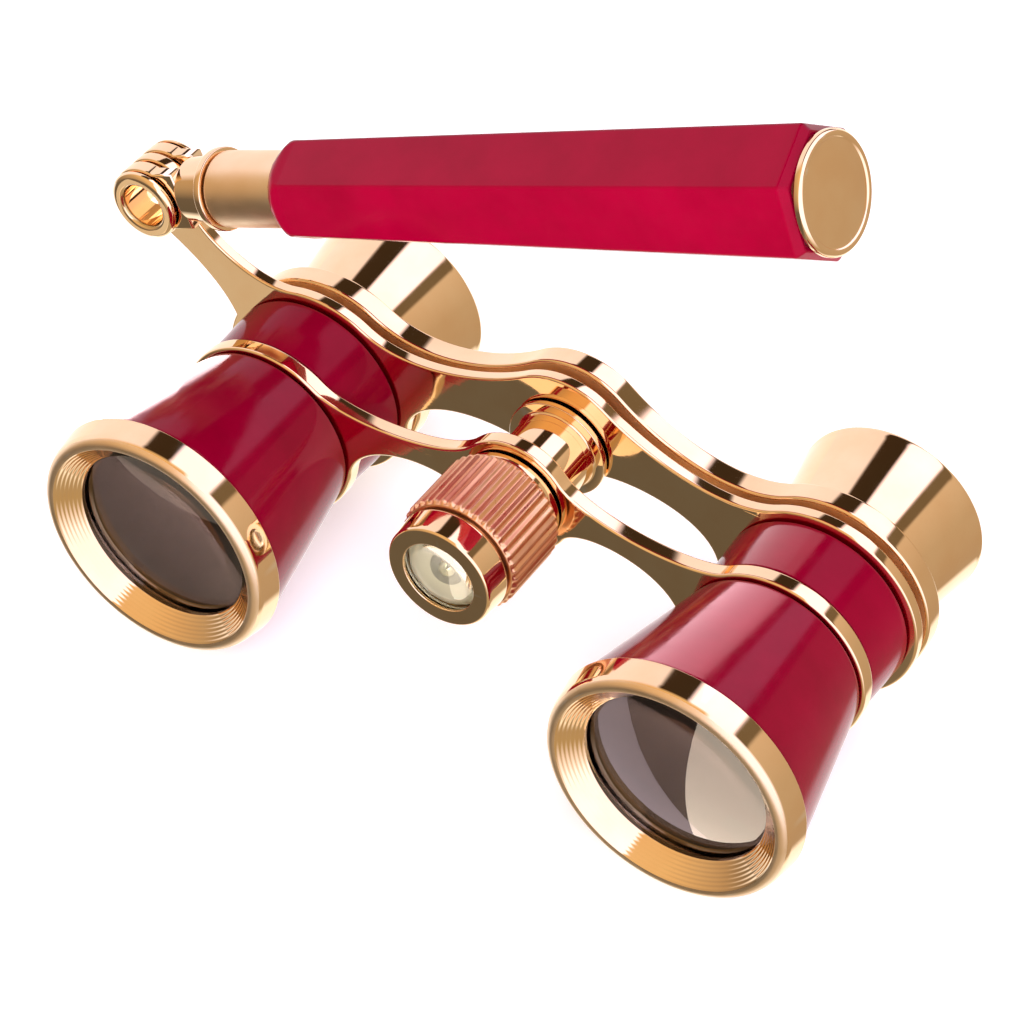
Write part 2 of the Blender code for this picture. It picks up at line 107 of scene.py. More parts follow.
# Places: the objectives' front plane, the optical axes, the focus axis and the hinge
FRONT_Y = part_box("objective_bezel_left")[0][1]
LEFT = axis_of("objective_bezel_left")
RIGHT = axis_of("objective_bezel_right")
FOCUS = axis_of("focus_tube")
HINGE = axis_of("hinge_rivet")
HANDLE_DIRECTION = Vector(next(j for j in frame["joints"] if j["name"] == "handle_extend")["axis"])

AT_LEFT = Matrix.Translation((LEFT.x, FRONT_Y, LEFT.z))
AT_RIGHT = Matrix.Translation((RIGHT.x, FRONT_Y, RIGHT.z))
AT_CENTRE = Matrix.Translation(((LEFT.x + RIGHT.x) / 2, FRONT_Y, LEFT.z))
AT_FOCUS = Matrix.Translation((FOCUS.x, FRONT_Y, FOCUS.z))
AT_HINGE = Matrix.Translation(HINGE)
HANDLE_TURN = Vector((1, 0, 0)).rotation_difference(HANDLE_DIRECTION).to_matrix().to_4x4()
ON_HANDLE = AT_HINGE @ HANDLE_TURN
Y_TO_X = Matrix.Rotation(-pi / 2, 4, "Z")
ALONG_HANDLE = ON_HANDLE @ Y_TO_X
BARREL_X = (RIGHT.x - LEFT.x) / 2 / MM
FOCUS_Z = (FOCUS.z - LEFT.z) / MM
HINGE_XZ = ((HINGE.x - (LEFT.x + RIGHT.x) / 2) / MM, (HINGE.z - LEFT.z) / MM)


# ---------------------------------------------------------------- materials

def node_adder(tree):
    """A function that adds a node to the tree, with its inputs linked or set, and its settings."""
    def add(kind, inputs=None, **settings):
        node = tree.nodes.new(kind)
        for key, value in settings.items():
            setattr(node, key, value)
        for key, value in (inputs or {}).items():
            if isinstance(value, bpy.types.NodeSocket):
                tree.links.new(value, node.inputs[key])
            else:
                node.inputs[key].default_value = value
        return node

    return add


def new_material(name):
    """A material, its Principled shader, its node adder and a function that links to the shader."""
    made = bpy.data.materials.new(name)
    made.use_nodes = True
    tree = made.node_tree
    shader = tree.nodes["Principled BSDF"]

    def link(output, socket):
        tree.links.new(output, shader.inputs[socket])

    return made, shader, node_adder(tree), link


def ramp(add, factor, stops):
    """A colour ramp over (position, colour) stops."""
    node = add("ShaderNodeValToRGB", {"Fac": factor})
    elements = node.color_ramp.elements
    while len(elements) < len(stops):
        elements.new(0.5)
    for element, (position, colour) in zip(elements, stops):
        element.position = position
        element.color = (*colour, 1.0)
    return node.outputs["Color"]


def noise(add, scale, detail=3.0, roughness=0.5, stretch=None):
    """Noise in the piece's own space; scale is in cycles per metre, stretch squeezes its axes."""
    coordinates = add("ShaderNodeTexCoord").outputs["Object"]
    if stretch:
        coordinates = add("ShaderNodeMapping", {"Vector": coordinates, "Scale": stretch}).outputs[0]
    return add("ShaderNodeTexNoise", {
        "Vector": coordinates, "Scale": scale, "Detail": detail, "Roughness": roughness,
    }).outputs["Fac"]


def span(add, value, low, high, start=0.35, end=0.65):
    """A value remapped from start..end to low..high."""
    return add("ShaderNodeMapRange", {
        "Value": value, "From Min": start, "From Max": end, "To Min": low, "To Max": high,
    }).outputs["Result"]


def bump(add, height, strength, distance):
    """A bumped normal; distance is in metres."""
    return add("ShaderNodeBump", {
        "Height": height, "Strength": strength, "Distance": distance,
    }).outputs["Normal"]


def metal(name, pale, deep, edge, roughness, ripple=0.02):
    """Polished or turned metal: cloudy colour, hazy patches, fine scratches, and a painted highlight: the
    paler edge colour on sharp convex edges.
    """
    made, shader, add, link = new_material(name)
    cloud = noise(add, scale=160.0, detail=4.0)
    body = ramp(add, cloud, [(0.35, deep), (0.65, pale)])
    # Painted highlight: where the surface is sharply convex, the colour turns to the paler edge colour
    pointed = add("ShaderNodeNewGeometry").outputs["Pointiness"]
    painted_edge_highlight = span(add, pointed, 0.0, 1.0, start=0.53, end=0.6)
    colour = add("ShaderNodeMixRGB", {"Fac": painted_edge_highlight, "Color1": body, "Color2": (*edge, 1.0)})
    link(colour.outputs["Color"], "Base Color")
    haze = noise(add, scale=420.0, detail=5.0, roughness=0.62)
    link(span(add, haze, *roughness), "Roughness")
    scratches = noise(add, scale=2600.0, detail=2.0, stretch=(1.0, 0.06, 1.0))
    link(bump(add, scratches, ripple, 0.00002), "Normal")
    shader.inputs["Metallic"].default_value = 1.0
    return made


def enamel(name, deep, pale, shine):
    """Enamel: deep colour with faint clouding, orange peel, and a haze; shine tints its reflections."""
    made, shader, add, link = new_material(name)
    cloud = noise(add, scale=130.0, detail=4.0, roughness=0.55)
    link(ramp(add, cloud, [(0.3, deep), (0.7, pale)]), "Base Color")
    haze = noise(add, scale=500.0, detail=5.0, roughness=0.6)
    link(span(add, haze, 0.10, 0.17), "Roughness")
    peel = noise(add, scale=900.0, detail=2.0)
    link(bump(add, peel, 0.05, 0.00006), "Normal")
    shader.inputs["Specular IOR Level"].default_value = 0.2
    shader.inputs["Specular Tint"].default_value = (*shine, 1.0)
    return made


def glass(name, tint, roughness, ior, coat=0.0, coat_tint=(1.0, 1.0, 1.0)):
    """Clear or coated glass with faint smears."""
    made, shader, add, link = new_material(name)
    smear = noise(add, scale=240.0, detail=4.0)
    shade = tuple(0.96 * channel for channel in tint)
    link(ramp(add, smear, [(0.3, shade), (0.7, tint)]), "Base Color")
    link(span(add, smear, roughness, roughness + 0.015), "Roughness")
    shader.inputs["Transmission Weight"].default_value = 1.0
    shader.inputs["IOR"].default_value = ior
    shader.inputs["Coat Weight"].default_value = coat
    shader.inputs["Coat Roughness"].default_value = 0.02
    shader.inputs["Coat Tint"].default_value = (*coat_tint, 1.0)
    return made


def matt(name, deep, pale, roughness, metallic=0.0):
    """Matt anodising or plastic, with fine grain."""
    made, shader, add, link = new_material(name)
    cloud = noise(add, scale=300.0, detail=4.0)
    link(ramp(add, cloud, [(0.3, deep), (0.7, pale)]), "Base Color")
    grain = noise(add, scale=4200.0, detail=2.0)
    link(span(add, grain, *roughness), "Roughness")
    link(bump(add, grain, 0.25, 0.00003), "Normal")
    shader.inputs["Metallic"].default_value = metallic
    return made


# Each metal's edge colour is a painted highlight, laid on its sharp convex edges
GOLD = metal("gold_plate", pale=(1.0, 0.74, 0.46), deep=(0.97, 0.68, 0.40),
             edge=(1.0, 0.82, 0.62), roughness=(0.035, 0.075))
KNURL_GOLD = metal("knurled_gold", pale=(0.98, 0.58, 0.33), deep=(0.93, 0.49, 0.26),
                   edge=(1.0, 0.76, 0.54), roughness=(0.27, 0.36), ripple=0.06)
LIP_GOLD = metal("lip_gold", pale=(1.0, 0.76, 0.5), deep=(0.97, 0.7, 0.43),
                 edge=(1.0, 0.82, 0.62), roughness=(0.34, 0.42))
SATIN_GOLD = metal("satin_gold", pale=(1.0, 0.7, 0.36), deep=(0.95, 0.62, 0.3),
                   edge=(1.0, 0.78, 0.5), roughness=(0.5, 0.65), ripple=0.1)
BRASS = metal("plain_brass", pale=(0.78, 0.58, 0.27), deep=(0.66, 0.46, 0.19),
              edge=(0.86, 0.68, 0.4), roughness=(0.24, 0.36), ripple=0.12)
STEEL = metal("bright_steel", pale=(0.62, 0.62, 0.63), deep=(0.5, 0.5, 0.51),
              edge=(0.75, 0.75, 0.75), roughness=(0.16, 0.28), ripple=0.1)
ENAMEL = enamel("crimson_enamel", deep=(0.22, 0.0, 0.016), pale=(0.27, 0.0, 0.021),
                shine=(1.0, 0.42, 0.46))
LENS_GLASS = glass("coated_glass", tint=(0.83, 0.70, 0.58), roughness=0.0, ior=1.52,
                   coat=0.5, coat_tint=(0.9, 0.8, 0.8))
CLEAR_PLASTIC = glass("light_plastic", tint=(0.95, 0.92, 0.74), roughness=0.01, ior=1.49)
BLACK = matt("black_anodised", deep=(0.012, 0.011, 0.012), pale=(0.022, 0.02, 0.021),
             roughness=(0.38, 0.55), metallic=0.2)
BAFFLE = matt("baffle_black", deep=(0.05, 0.04, 0.04), pale=(0.085, 0.07, 0.068),
              roughness=(0.3, 0.45))
WHITE_PLASTIC = matt("white_plastic", deep=(0.7, 0.69, 0.66), pale=(0.82, 0.81, 0.78),
                     roughness=(0.35, 0.5))


# ---------------------------------------------------------------- building

def finish_piece(name, mesh, place, body, slot, *materials):
    """An object from a mesh in millimetres, set in place on its body, for the CAD node of its name."""
    mesh.transform(place @ Matrix.Scale(MM, 4))
    for material in materials:
        mesh.materials.append(material)
    mesh.shade_smooth()
    made = bpy.data.objects.new(name, mesh)
    scene.collection.objects.link(made)
    weighted = made.modifiers.new("face_normals", "WEIGHTED_NORMAL")
    weighted.weight = 90
    weighted.keep_sharp = True
    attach(made, body)
    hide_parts(name)
    PIECES[name] = made


def rounded(profile, radius, closed, steps=3):
    """The profile with each real corner replaced by a short curve."""
    count = len(profile)
    result = []
    for i, corner in enumerate(profile):
        if not closed and i in (0, count - 1):
            result.append(corner)
            continue
        here = Vector(corner)
        back = Vector(profile[i - 1]) - here
        on = Vector(profile[(i + 1) % count]) - here
        bend = pi - back.angle(on)
        if bend < SHARP_BEND:
            result.append(corner)
            continue
        reach = min(radius, 0.4 * back.length, 0.4 * on.length)
        start = here + back.normalized() * reach
        end = here + on.normalized() * reach
        for k in range(steps + 1):
            t = k / steps
            result.append(tuple((1 - t) ** 2 * start + 2 * t * (1 - t) * here + t * t * end))
    return result


def turned_mesh(name, profile, segments=ROUND_SEGMENTS, rounding=EDGE_ROUNDING, ribs=None, second=None):
    """A profile of (distance along Y, radius) spun about Y.

    A profile that starts on the axis makes a solid; any other one is a closed ring. ribs is
    (count, depth, least radius) for straight knurling. second is a function of a distance and a
    radius, which says whether a face with its middle there takes the second material.
    """
    closed = profile[0][1] > 0
    points = rounded(profile, rounding, closed)
    verts = []
    rows = []
    for distance, radius in points:
        if radius < WELD:
            rows.append([len(verts)] * segments)
            verts.append((0, distance, 0))
            continue
        rows.append(list(range(len(verts), len(verts) + segments)))
        for k in range(segments):
            angle = tau * k / segments
            r = radius
            if ribs and radius > ribs[2]:
                r -= ribs[1] * (0.5 - 0.5 * cos(ribs[0] * angle)) ** 0.7
            verts.append((r * cos(angle), distance, r * sin(angle)))
    faces = []
    pairs = list(zip(rows, rows[1:])) + ([(rows[-1], rows[0])] if closed else [])
    for near, far in pairs:
        for k in range(segments):
            j = (k + 1) % segments
            ring = [near[k], near[j], far[j], far[k]]
            face = [v for n, v in enumerate(ring) if v not in ring[:n]]
            if len(face) > 2:
                faces.append(face)
    mesh = bpy.data.meshes.new(name)
    mesh.from_pydata(verts, [], faces)
    bm = bmesh.new()
    bm.from_mesh(mesh)
    bmesh.ops.recalc_face_normals(bm, faces=bm.faces)
    if second:
        for face in bm.faces:
            middle = face.calc_center_median()
            face.material_index = int(second(middle.y, sqrt(middle.x**2 + middle.z**2)))
    bm.to_mesh(mesh)
    bm.free()
    return mesh


def turned(name, profile, place, body, slot, *materials, **shape):
    """A turned piece; shape holds the settings of turned_mesh."""
    finish_piece(name, turned_mesh(name, profile, **shape), place, body, slot, *materials)


def arc(centre, radius, start, end, steps):
    """Points on a circle in the XZ plane, from one angle in degrees to another."""
    angles = [radians(start + (end - start) * i / steps) for i in range(steps + 1)]
    return [(centre[0] + radius * cos(a), centre[1] + radius * sin(a)) for a in angles]


def clockwise(angle):
    """Unit direction of clockwise travel at an angle in degrees on a circle."""
    return (sin(radians(angle)), -cos(radians(angle)))


def sweep(start, leave, end, arrive, steps=28):
    """Inner points of a cubic curve; leave and arrive are (direction, reach)."""
    first = [start[k] + leave[0][k] * leave[1] for k in range(2)]
    last = [end[k] - arrive[0][k] * arrive[1] for k in range(2)]
    points = []
    for i in range(1, steps):
        t = i / steps
        u = 1 - t
        points.append(tuple(
            u**3 * start[k] + 3 * u * u * t * first[k] + 3 * u * t * t * last[k] + t**3 * end[k]
            for k in range(2)
        ))
    return points


def mirrored(points):
    """Points of an outline on the other side of X = 0, in an order that still runs clockwise."""
    return [(-x, z) for x, z in reversed(points)]


Waist = namedtuple("Waist", "lobe_r lobe_angle lobe_reach ring_reach")
Arm = namedtuple("Arm", "first_angle points last_angle")


def bridge_outline(ring_r, ring_top, upper_waist, lower_waist, lobe_arrival, arm=None):
    """Clockwise outline of a bridge plate: a centre lobe, a waist each side, and two rings.

    Each waist has the lobe's radius, the angle where the lobe ends, and how far its curve
    reaches from the lobe and from the ring. ring_top is the angle where the upper waist meets
    the ring, and lobe_arrival the direction in which the lower one meets the lobe. arm, if
    given, replaces the left ring's upper outer side between two angles.
    """
    centre = (BARREL_X, 0)
    focus = (0, FOCUS_Z)
    ring_bottom = -173
    crown = arc(focus, upper_waist.lobe_r, 90, upper_waist.lobe_angle, 14)
    ring = arc(centre, ring_r, ring_top, ring_bottom, 110)
    keel = arc(focus, lower_waist.lobe_r, lower_waist.lobe_angle, -90, 14)
    upper = sweep(crown[-1], (clockwise(upper_waist.lobe_angle), upper_waist.lobe_reach),
                  ring[0], (clockwise(ring_top), upper_waist.ring_reach))
    lower = sweep(ring[-1], (clockwise(ring_bottom), lower_waist.ring_reach),
                  keel[0], (lobe_arrival, lower_waist.lobe_reach))
    right = crown + upper + ring + lower + keel
    left_ring = mirrored(ring)
    if arm:
        left = (-BARREL_X, 0)
        before_arm = arc(left, ring_r, -180 - ring_bottom, arm.first_angle - 360, 60)
        after_arm = arc(left, ring_r, arm.last_angle, 180 - ring_top, 16)
        left_ring = before_arm + arm.points + after_arm
    left_half = mirrored(keel)[1:] + mirrored(lower) + left_ring + mirrored(upper) + mirrored(crown)[:-1]
    return right + left_half


def plate_mesh(name, outline, holes, faces_y, edge=PLATE_EDGE, satin_side=0):
    """A flat plate with softened rims: an outline and round holes, thick from one y to another.

    satin_side is the side, -1 or 1 along Y, whose flat takes the second material.
    """
    curve = bpy.data.curves.new(name, "CURVE")
    curve.dimensions = "2D"
    curve.fill_mode = "BOTH"
    curve.extrude = (faces_y[1] - faces_y[0]) / 2 - edge
    curve.bevel_depth = edge
    curve.bevel_resolution = 3
    curve.offset = -edge
    loops = [outline] + [arc(middle, radius, 0, 360, 96)[:-1] for middle, radius in holes]
    for loop in loops:
        spline = curve.splines.new("POLY")
        spline.points.add(len(loop) - 1)
        for point, (x, z) in zip(spline.points, loop):
            point.co = (x, z, 0, 1)
        spline.use_cyclic_u = True
    drawn = bpy.data.objects.new(name, curve)
    scene.collection.objects.link(drawn)
    evaluated = drawn.evaluated_get(bpy.context.evaluated_depsgraph_get())
    mesh = bpy.data.meshes.new_from_object(evaluated)
    bpy.data.objects.remove(drawn, do_unlink=True)
    bm = bmesh.new()
    bm.from_mesh(mesh)
    bmesh.ops.remove_doubles(bm, verts=bm.verts, dist=WELD)
    bmesh.ops.recalc_face_normals(bm, faces=bm.faces)
    bm.to_mesh(mesh)
    bm.free()
    upright = Matrix.Rotation(pi / 2, 4, "X")
    mesh.transform(Matrix.Translation((0, (faces_y[0] + faces_y[1]) / 2, 0)) @ upright)
    if satin_side:
        for face in mesh.polygons:
            face.material_index = int(face.normal.y * satin_side > 0.99)
    return mesh


def joined(name, meshes):
    """One mesh from several closed shells."""
    bm = bmesh.new()
    for mesh in meshes:
        bm.from_mesh(mesh)
    together = bpy.data.meshes.new(name)
    bm.to_mesh(together)
    bm.free()
    return together


def dome(vertex, curve_r, rim_r, steps):
    """Points of a spherical face from its vertex on the axis out to its rim."""
    points = []
    for i in range(steps + 1):
        radius = rim_r * i / steps
        points.append((vertex + curve_r - sqrt(curve_r**2 - radius**2), radius))
    return points


def hollow(vertex, depth, rim_r, steps=12):
    """Points of a shallow parabolic face from its vertex on the axis out to its rim."""
    radii = [rim_r * i / steps for i in range(steps + 1)]
    return [(vertex + depth * (radius / rim_r) ** 2, radius) for radius in radii]


# ---------------------------------------------------------------- barrels

def ridged_dish(front, floor, ridges=7, height=0.012, steps_each=6):
    """A cone from the dish floor out to the front lip, with fine turned ridges.

    front and floor are (distance, radius) points.
    """
    along = floor[0] - front[0]
    out = front[1] - floor[1]
    slant = sqrt(along**2 + out**2)
    points = []
    count = ridges * steps_each
    for i in range(count + 1):
        t = i / count
        lift = height * (1 - cos(tau * ridges * t))
        points.append((floor[0] - along * t - lift * out / slant, floor[1] + out * t - lift * along / slant))
    return points


def make_barrel(side, at):
    """The fixed parts of one barrel: its rim, front lens, cone, and tube between the bridges."""
    lip = [
        (0.02, 13.48), (0.0, 13.68), (0.04, 13.9), (0.14, 14.12), (0.3, 14.32), (0.5, 14.48),
        (0.75, 14.61),
    ]
    sleeve = [
        (1.1, 14.75), (BEZEL_SLEEVE_Y, 15.15), (BEZEL_SLEEVE_Y, 13.15), (6.2, 13.15), (6.2, 12.65),
        (2.85, 12.65), (2.85, APERTURE_R),
    ]
    dish = ridged_dish((0.05, 13.3), (2.3, APERTURE_R))
    turned(f"objective_bezel_{side}", lip + sleeve + dish, at, "frame", "gold_plate", GOLD, LIP_GOLD,
           rounding=FINE_ROUNDING, second=lambda y, r: y < 0.45 and r > 13.4)
    lens = dome(1.6, 41.0, 12.3, 24) + [(5.5, 12.3), (5.5, 0)]
    turned(f"objective_lens_{side}", lens, at, "frame", "coated_glass", LENS_GLASS, rounding=GLASS_ROUNDING)

    skin = [
        (BEZEL_SLEEVE_Y + GAP, 13.45), (BEZEL_SLEEVE_Y + GAP, 14.75), (4.1, 14.69), (22.3, 10.96),
        (CONE_REAR_Y, 10.9), (CONE_REAR_Y, 10.0),
    ]
    bore = [
        (19.0, 10.62), (18.6, 10.45), (18.3, 10.75), (14.0, 11.5), (13.6, 11.3), (13.3, 11.62),
        CONE_BORE, (6.6, 13.45),
    ]

    def in_cone_bore(y, r):
        return y > 6.5 and r < CONE_BORE[1] + 0.25 - CONE_BORE_TAPER * (y - CONE_BORE[0])

    turned(f"objective_cone_{side}", skin + bore, at, "frame", "crimson_enamel", ENAMEL, BAFFLE,
           second=in_cone_bore)
    tube = [
        (21.5, BARREL_BORE_R), (21.5, SPIGOT_R), (TUBES_Y[0], SPIGOT_R), (TUBES_Y[0], 11.0),
        (TUBES_Y[1], 11.35), (TUBES_Y[1], BARREL_BORE_R),
    ]
    turned(f"middle_tube_{side}", tube, at, "frame", "crimson_enamel", ENAMEL, BAFFLE,
           second=lambda y, r: r < BARREL_BORE_R + 0.3)


def make_eyepiece(side, at):
    """The sliding parts of one barrel: its draw tube, flared eyepiece and rear lens."""
    body = "eyepiece_carriage"
    bore_r, tube_r = 8.3, 8.9
    draw_tube = [(24.0, bore_r), (24.0, tube_r), (40.9, tube_r), (40.9, bore_r)]
    turned(f"draw_tube_{side}", draw_tube, at, body, "plain_brass", BRASS, BAFFLE,
           segments=MIDDLE_SEGMENTS, second=lambda y, r: r < bore_r + 0.2)
    flare = [
        (EYEPIECE_Y, BARREL_BORE_R), (EYEPIECE_Y, 9.6), (39.4, 9.68), (49.2, 11.3), (49.6, 11.42),
        (50.1, 11.5), (50.5, 11.3), (50.5, 10.6),
    ]
    cup = [
        (49.4, 9.3), (49.2, 9.25), (47.6, 7.5), (46.0, 7.3), (45.85, 7.3), (45.85, 8.85),
        (41.3, 8.85), (41.2, BARREL_BORE_R),
    ]
    turned(f"eyepiece_{side}", flare + cup, at, body, "gold_plate", GOLD)
    front = hollow(43.9, -0.8, 7.6)
    back = hollow(44.9, 0.6, 7.2)
    ocular = front + [(43.1, 8.5), (45.5, 8.5)] + back[::-1]
    turned(f"ocular_lens_{side}", ocular, at, body, "coated_glass", LENS_GLASS,
           segments=MIDDLE_SEGMENTS, rounding=0.04)


# ---------------------------------------------------------------- bridges

def bridge_holes(barrel_hole_r):
    """The round holes of a bridge plate, as (middle, radius), for both barrels and the focus tube."""
    return [((-BARREL_X, 0), barrel_hole_r), ((BARREL_X, 0), barrel_hole_r), ((0, FOCUS_Z), FOCUS_BORE_R)]


def handle_arm():
    """The stretch of the rear bridge that leaves the left ring for the hinge and comes back."""
    leave_angle, land_angle, lug_start = 157, 106, 245
    leave, land = arc((-BARREL_X, 0), REAR_RING_R, leave_angle, land_angle, 1)
    lug = arc(HINGE_XZ, HINGE_EYE_R, lug_start, 0, 48)
    lower = sweep(leave, ((-0.45, 0.89), 5.0), lug[0], (clockwise(lug_start), 5.0))
    upper = sweep(lug[-1], (clockwise(0), 3.0), land, (clockwise(land_angle), 6.0))
    return Arm(leave_angle, lower + lug + upper, land_angle)


def make_bridges():
    """Three plates: the front one, the rear one with the handle's arm, and the sliding one."""
    outline = bridge_outline(FRONT_RING_R, 125, Waist(7.35, 40, 5.5, 4.5), Waist(7.35, -27, 4.0, 7.0),
                             (-0.6, -0.8))
    front = plate_mesh("front_bridge", outline, bridge_holes(SPIGOT_HOLE_R), FRONT_BRIDGE_Y)
    finish_piece("front_bridge", front, AT_CENTRE, "frame", "gold_plate", GOLD)

    lower_waist, lobe_arrival = Waist(4.8, -40, 3.5, 7.5), (-0.75, -0.66)
    outline = bridge_outline(REAR_RING_R, 120, Waist(9.2, 55, 7.5, 6.5), lower_waist, lobe_arrival,
                             handle_arm())
    holes = bridge_holes(BARREL_BORE_R) + [(HINGE_XZ, RIVET_HOLE_R)]
    rear = plate_mesh("rear_bridge", outline, holes, REAR_BRIDGE_Y, THIN_PLATE_EDGE, satin_side=1)
    finish_piece("rear_bridge", rear, AT_CENTRE, "frame", "gold_plate", GOLD, SATIN_GOLD)

    outline = bridge_outline(REAR_RING_R, 120, Waist(9.5, 52, 8.5, 6.5), lower_waist, lobe_arrival)
    eye = plate_mesh("eyepiece_bridge", outline, bridge_holes(BARREL_BORE_R), EYE_BRIDGE_Y,
                     THICK_PLATE_EDGE, satin_side=-1)
    finish_piece("eyepiece_bridge", eye, AT_CENTRE, "eyepiece_carriage", "gold_plate", GOLD, SATIN_GOLD)
    cap = [
        (39.9, 0), (39.9, 3.5), (EYEPIECE_Y, 3.5), (EYEPIECE_Y, 4.8), (39.7, 4.8), (40.8, 3.7),
        (41.3, 1.9), (41.4, 0),
    ]
    turned("bridge_cap", cap, AT_FOCUS, "eyepiece_carriage", "gold_plate", GOLD,
           segments=SMALL_SEGMENTS, rounding=0.4)


# ---------------------------------------------------------------- focus drive and light

def make_focus_drive():
    """The bush, the tube between the bridges, and the knob with straight knurling."""
    screw_hole_r = 2.25
    bush = [
        (21.5, screw_hole_r), (21.5, 6.2), (CONE_REAR_Y, 6.2), (CONE_REAR_Y, 3.2), (25.9, 3.2),
        (25.9, screw_hole_r),
    ]
    turned("focus_bush", bush, AT_FOCUS, "frame", "plain_brass", GOLD, segments=SMALL_SEGMENTS)
    tube_r, flange_r = 4.9, 6.2
    tube = [
        (TUBES_Y[0], FOCUS_BORE_R), (TUBES_Y[0], tube_r), (31.7, tube_r), (31.9, 5.1), (31.9, flange_r),
        (TUBES_Y[1], flange_r), (TUBES_Y[1], FOCUS_BORE_R),
    ]
    turned("focus_tube", tube, AT_FOCUS, "frame", "gold_plate", GOLD, segments=SMALL_SEGMENTS)
    knob = [
        (11.75, 5.95), (11.75, 6.85), (12.1, 7.2), (12.35, KNOB_R), (20.55, KNOB_R), (20.8, 7.2),
        (21.15, 6.85), (21.15, screw_hole_r), (19.9, screw_hole_r), (19.9, 4.3), (12.7, 4.3), (12.7, 5.95),
    ]
    ribs, rib_depth, ribs_above_r = 40, 0.3, 7.1
    turned("focus_knob", knob, AT_FOCUS, "focus_knob", "gold_plate", KNURL_GOLD,
           segments=KNURL_SEGMENTS, ribs=(ribs, rib_depth, ribs_above_r), rounding=FINE_ROUNDING)


def make_light():
    """The smooth ring on the knob's front and the small lens in it."""
    bezel = [
        (7.85, 4.45), (7.85, 6.3), (8.1, 6.5), (8.6, 6.55), (11.1, 6.75), (11.4, 6.55),
        (11.4, 5.65), (12.4, 5.65), (12.4, 5.1), (8.4, 5.1), (8.4, 4.75), (8.25, 4.45),
    ]
    turned("light_bezel", bezel, AT_FOCUS, "light_head", "gold_plate", GOLD, segments=MIDDLE_SEGMENTS)
    lens = [
        (7.6, 0), (7.63, 0.8), (7.7, 1.5), (7.83, 2.2), (8.0, 2.8), (8.2, 3.35), (8.45, 3.8),
        (8.7, 4.15), (8.7, 4.8), (9.5, 4.8), (9.5, 0),
    ]
    turned("light_lens", lens, AT_FOCUS, "light_head", "light_plastic", CLEAR_PLASTIC,
           segments=SMALL_SEGMENTS, rounding=GLASS_ROUNDING)


# ---------------------------------------------------------------- handle

def make_hinge():
    """The fork of two cheeks on the handle, and the hollow rivet through it and the arm."""
    neck_half = 3.6
    neck_start = 5.5
    cheeks_y = ((-3.0, -1.15), (1.15, 3.0))
    outline = arc((0, 0), HINGE_EYE_R, 55, 305, 48) + [(neck_start, -neck_half), (neck_start, neck_half)]
    cheeks = [plate_mesh("cheek", outline, [((0, 0), RIVET_HOLE_R)], faces_y, THIN_PLATE_EDGE)
              for faces_y in cheeks_y]
    neck = turned_mesh("neck", [(5.0, 0), (5.0, 3.3), (5.4, 3.7), (9.0, 4.0), (9.0, 0)], SMALL_SEGMENTS)
    neck.transform(Y_TO_X)
    fork = joined("handle_fork", cheeks + [neck])
    finish_piece("handle_fork", fork, ON_HANDLE, "handle", "gold_plate", GOLD)

    seat = cheeks_y[1][1] + GAP
    bore_r = 2.7
    head = [
        (seat, 3.05), (seat, 4.35), (seat + 0.3, 4.35), (seat + 0.55, 4.2), (seat + 0.74, 3.85),
        (seat + 0.8, 3.4), (seat + 0.74, 3.05), (seat + 0.55, 2.78), (seat + 0.3, bore_r),
    ]
    rivet = head + [(-along, radius) for along, radius in reversed(head)]
    turned("hinge_rivet", rivet, AT_HINGE, "frame", "gold_plate", GOLD, BRASS,
           segments=MIDDLE_SEGMENTS, rounding=0.12, second=lambda y, r: r < bore_r + 0.2 and y < -1.2)


def make_handle():
    """The collar, the plain tube that enters the grip, and the disc that closes the grip."""
    collar = [(9.3, 0), (9.3, 4.8), (10.3, 4.8), (10.3, 3.3), (14.0, 3.3), (14.0, 0)]
    turned("handle_collar", collar, ALONG_HANDLE, "handle", "gold_plate", GOLD,
           segments=SMALL_SEGMENTS, rounding=0.22)
    tube = [(10.6, 3.6), (10.6, HANDLE_TUBE_R), (84.0, HANDLE_TUBE_R), (84.0, 3.6)]
    turned("handle_tube", tube, ALONG_HANDLE, "handle", "gold_plate", LIP_GOLD, segments=SMALL_SEGMENTS)
    cap = [
        (88.0, 0), (88.0, 4.4), (92.0, 4.4), (92.0, 6.45), (92.6, 6.45), (92.95, 6.15), (92.95, 5.7),
        (92.7, 5.5), (92.9, 4.2), (93.02, 2.6), (93.1, 0),
    ]
    turned("handle_end_cap", cap, ALONG_HANDLE, "grip", "gold_plate", GOLD, rounding=0.12)


def rounded_hexagon(along, flat_r, fillet, steps=4):
    """One ring of points about the handle: six flats at flat_r, with corners of radius fillet."""
    points = []
    for corner in range(6):
        middle = GRIP_CORNER + corner * pi / 3
        centre_r = (flat_r - fillet) / cos(pi / 6)
        for k in range(steps + 1):
            angle = middle + (k / steps - 0.5) * pi / 3
            y = -centre_r * cos(middle) - fillet * cos(angle)
            z = centre_r * sin(middle) + fillet * sin(angle)
            points.append((along, y, z))
    return points


